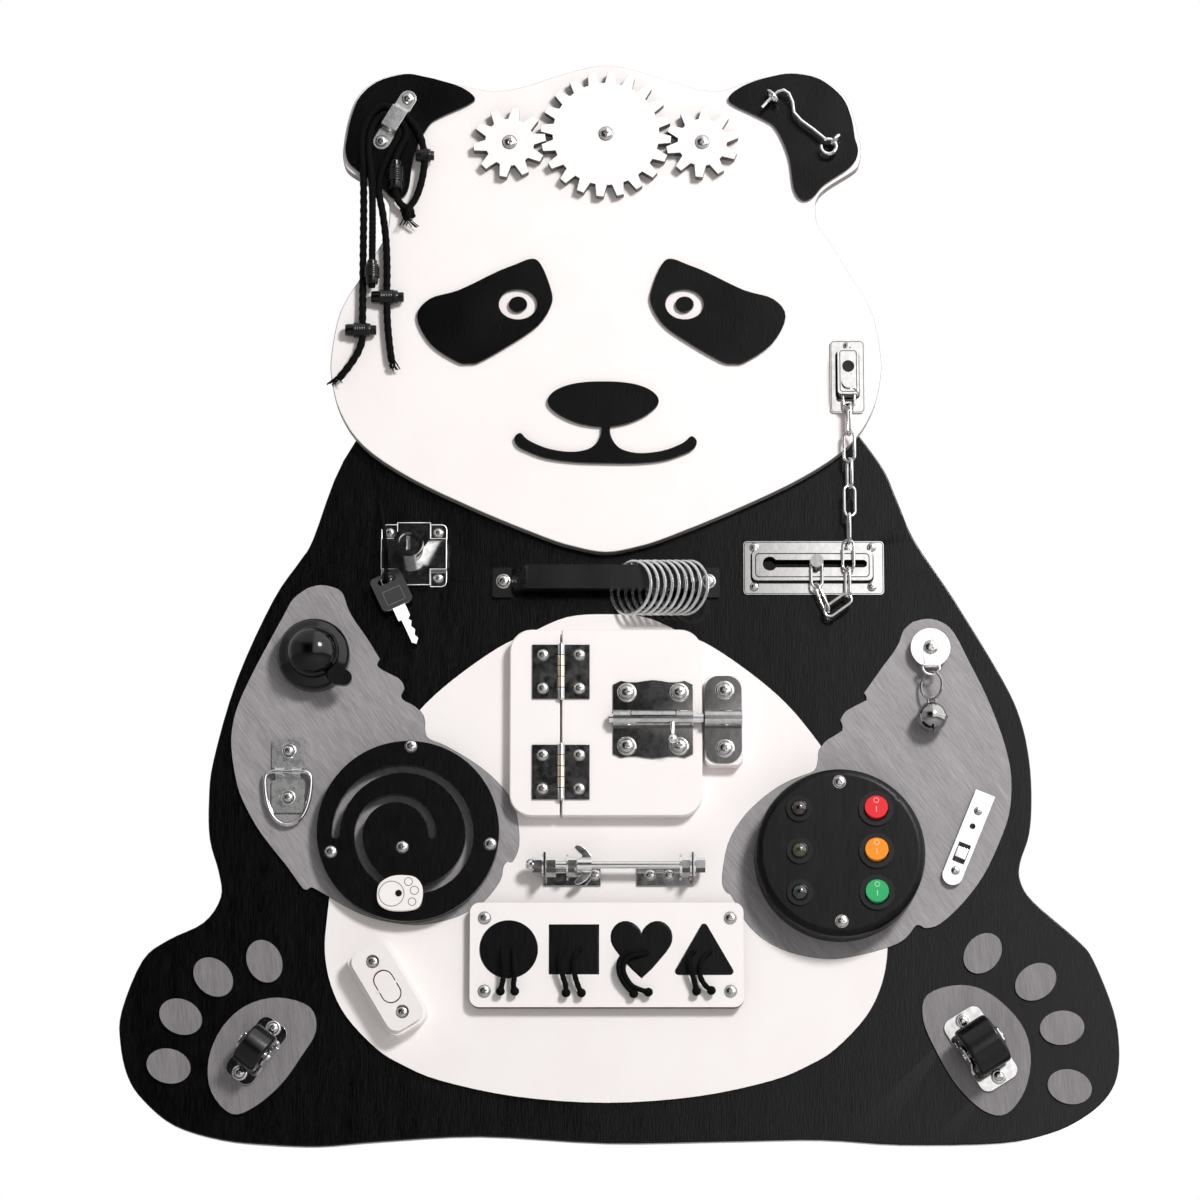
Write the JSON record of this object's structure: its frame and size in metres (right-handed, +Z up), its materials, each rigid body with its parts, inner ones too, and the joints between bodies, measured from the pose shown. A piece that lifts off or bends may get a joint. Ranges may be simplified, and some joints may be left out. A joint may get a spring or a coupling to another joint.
{
  "type": "wooden busy board",
  "caption": "Upright wooden busy board in the shape of a sitting panda, with gears, locks, a door, a maze, lights, bells, wheels and other things to move.",
  "frame": {"origin": "on the back face of the body board, in the middle of its width, at chest height below the head", "axes": "+X to the right as seen from the front, +Z up, front facing -Y"},
  "size_m": [0.6278, 0.0482, 0.7041],
  "materials": {
    "black_board": "black stained plywood, visible vertical grain, satin",
    "white_board": "white painted plywood, satin",
    "grey_panel": "grey stained plywood, fine grain, satin",
    "black_felt": "black painted thin plywood, matte",
    "white_part": "white painted wood, satin",
    "black_cord": "black braided cord",
    "black_plastic": "matte black plastic",
    "gloss_black": "gloss black",
    "bright_steel": "bright nickel plate",
    "zinc_steel": "zinc plated steel, satin",
    "dark_steel": "dark nickel plate, bright",
    "screw_steel": "zinc plated screws",
    "black_wood": "black stained wood, satin",
    "white_plastic": "white plastic, satin gloss",
    "lens": "dark clear domes of red, amber and green lamps",
    "red_cap": "translucent red plastic",
    "amber_cap": "translucent amber plastic",
    "green_cap": "translucent green plastic"
  },
  "bodies": {
    "board": {"body_board": "black_board", "head_board": "white_board", "belly_panel": "white_board", "grey_panels": "grey_panel", "face_patches": "black_felt", "ear_fittings": "bright_steel", "lacing_cords": "black_cord", "cord_stoppers": "black_plastic", "chain_plates": "dark_steel", "door_chain": "bright_steel", "lock_body": "zinc_steel", "key": "zinc_steel", "key_cord": "black_cord", "pull_handle": "black_plastic", "bicycle_bell": "gloss_black", "ring_plates": "zinc_steel", "maze_disc": "black_wood", "light_box": "black_wood", "lamp_lenses": "lens", "light_box_insides": "black_plastic", "door_surround": "white_part", "fixed_hinge_leaves": "dark_steel", "bolt_keeper": "bright_steel", "rod_brackets": "dark_steel", "threaded_rod": "bright_steel", "shape_board": "white_part", "lamp_switch": "white_plastic", "castor_forks": "zinc_steel", "bell_hanger": "bright_steel", "flush_bolt": "zinc_steel", "wood_screws": "screw_steel"},
    "big_gear": {"big_gear": "white_part"},
    "left_gear": {"left_gear": "white_part"},
    "right_gear": {"right_gear": "white_part"},
    "hook": {"cabin_hook": "bright_steel"},
    "slider": {"chain_slider": "bright_steel"},
    "plug": {"lock_plug": "zinc_steel"},
    "tongue": {"lock_tongue": "zinc_steel"},
    "rings": {"key_rings": "bright_steel"},
    "lever": {"bell_lever": "black_plastic"},
    "lash_ring": {"lashing_ring": "bright_steel"},
    "knob": {"maze_knob": "white_part"},
    "red": {"red_rocker": "red_cap"},
    "amber": {"amber_rocker": "amber_cap"},
    "green": {"green_rocker": "green_cap"},
    "door": {"door": "white_part", "door_hinge_leaves": "dark_steel", "bolt_guide": "bright_steel", "door_screws": "screw_steel"},
    "bolt": {"sliding_bolt": "bright_steel"},
    "wing": {"wing_nut": "bright_steel"},
    "circle": {"shape_circle": "black_wood"},
    "square": {"shape_square": "black_wood"},
    "heart": {"shape_heart": "black_wood"},
    "triangle": {"shape_triangle": "black_wood"},
    "lamp_rocker": {"lamp_rocker": "white_plastic"},
    "left_wheel": {"left_wheel": "black_plastic"},
    "right_wheel": {"right_wheel": "black_plastic"},
    "bell": {"jingle_bell": "bright_steel"},
    "tab": {"flush_tab": "zinc_steel"}
  },
  "joints": [
    {"name": "gear_spin", "type": "hinge", "parent": "board", "child": "big_gear", "pos_m": [0, -0.024, 0.31], "axis": [0, -1, 0], "continuous": true},
    {"name": "left_gear_spin", "type": "hinge", "parent": "board", "child": "left_gear", "pos_m": [-0.06259, -0.024, 0.3043], "axis": [0, -1, 0], "continuous": true},
    {"name": "right_gear_spin", "type": "hinge", "parent": "board", "child": "right_gear", "pos_m": [0.06259, -0.024, 0.3043], "axis": [0, -1, 0], "continuous": true},
    {"name": "hook_swing", "type": "hinge", "parent": "board", "child": "hook", "pos_m": [0.1445, -0.0302, 0.3005], "axis": [0, 1, 0], "range_deg": [0, 40]},
    {"name": "chain_slide", "type": "slide", "parent": "board", "child": "slider", "axis": [1, 0, 0], "range_m": [-0.029, 0.029], "deforming": ["door_chain"]},
    {"name": "lock_turn", "type": "hinge", "parent": "board", "child": "plug", "pos_m": [-0.1257, -0.03, 0.0356], "axis": [0, -1, 0], "range_deg": [0, 90]},
    {"name": "tongue_slide", "type": "slide", "parent": "board", "child": "tongue", "axis": [1, 0, 0], "range_m": [0, 0.0081]},
    {"name": "rings_slide", "type": "slide", "parent": "board", "child": "rings", "axis": [-1, 0, 0], "range_m": [0, 0.055]},
    {"name": "bell_lever_press", "type": "hinge", "parent": "board", "child": "lever", "pos_m": [-0.1702, -0.0325, -0.0498], "axis": [0, -1, 0], "range_deg": [0, 28], "stiffness_Nm_per_rad": 0.02},
    {"name": "lashing_ring_swing", "type": "hinge", "parent": "board", "child": "lash_ring", "pos_m": [-0.2015, -0.0166, -0.1087], "axis": [-1, 0, 0], "range_deg": [0, 165]},
    {"name": "maze_knob_slide", "type": "hinge", "parent": "board", "child": "knob", "pos_m": [-0.1211, -0.02, -0.15], "axis": [0, -1, 0], "range_deg": [-68, 94]},
    {"name": "red_switch", "type": "hinge", "parent": "board", "child": "red", "pos_m": [0.1695, -0.0376, -0.136], "axis": [1, 0, 0], "range_deg": [0, 16]},
    {"name": "amber_switch", "type": "hinge", "parent": "board", "child": "amber", "pos_m": [0.1695, -0.0376, -0.1627], "axis": [1, 0, 0], "range_deg": [0, 16]},
    {"name": "green_switch", "type": "hinge", "parent": "board", "child": "green", "pos_m": [0.1695, -0.0376, -0.1891], "axis": [1, 0, 0], "range_deg": [0, 16]},
    {"name": "door_swing", "type": "hinge", "parent": "board", "child": "door", "pos_m": [-0.0286, -0.0252, -0.078], "axis": [0, 0, -1], "range_deg": [0, 150]},
    {"name": "bolt_slide", "type": "slide", "parent": "door", "child": "bolt", "axis": [1, 0, 0], "range_m": [-0.02, 0.0105]},
    {"name": "wing_nut_travel", "type": "slide", "parent": "board", "child": "wing", "axis": [1, 0, 0], "range_m": [0, 0.05]},
    {"name": "circle_lift", "type": "slide", "parent": "board", "child": "circle", "axis": [0, -1, 0], "range_m": [0, 0.02]},
    {"name": "square_lift", "type": "slide", "parent": "board", "child": "square", "axis": [0, -1, 0], "range_m": [0, 0.02]},
    {"name": "heart_lift", "type": "slide", "parent": "board", "child": "heart", "axis": [0, -1, 0], "range_m": [0, 0.02]},
    {"name": "triangle_lift", "type": "slide", "parent": "board", "child": "triangle", "axis": [0, -1, 0], "range_m": [0, 0.02]},
    {"name": "lamp_switch_rock", "type": "hinge", "parent": "board", "child": "lamp_rocker", "pos_m": [-0.1368, -0.028, -0.247], "axis": [-0.8572, 0, -0.515], "range_deg": [0, 14]},
    {"name": "left_wheel_spin", "type": "hinge", "parent": "board", "child": "left_wheel", "pos_m": [-0.219, -0.0287, -0.2855], "axis": [0.8039, 0, -0.5948], "continuous": true},
    {"name": "right_wheel_spin", "type": "hinge", "parent": "board", "child": "right_wheel", "pos_m": [0.2346, -0.0317, -0.2844], "axis": [0.848, 0, 0.5299], "continuous": true},
    {"name": "bell_swing", "type": "hinge", "parent": "board", "child": "bell", "pos_m": [0.2065, -0.0238, -0.0473], "axis": [-1, 0, 0], "range_deg": [0, 50]},
    {"name": "flush_tab_slide", "type": "slide", "parent": "board", "child": "tab", "axis": [0.3827, 0, 0.9239], "range_m": [-0.0025, 0.0025]}
  ],
  "couplings": [
    {"joint": "left_gear_spin", "follows": "gear_spin", "ratio": -2},
    {"joint": "right_gear_spin", "follows": "gear_spin", "ratio": -2},
    {"joint": "tongue_slide", "follows": "lock_turn", "m_per_rad": 0.005093}
  ]
}
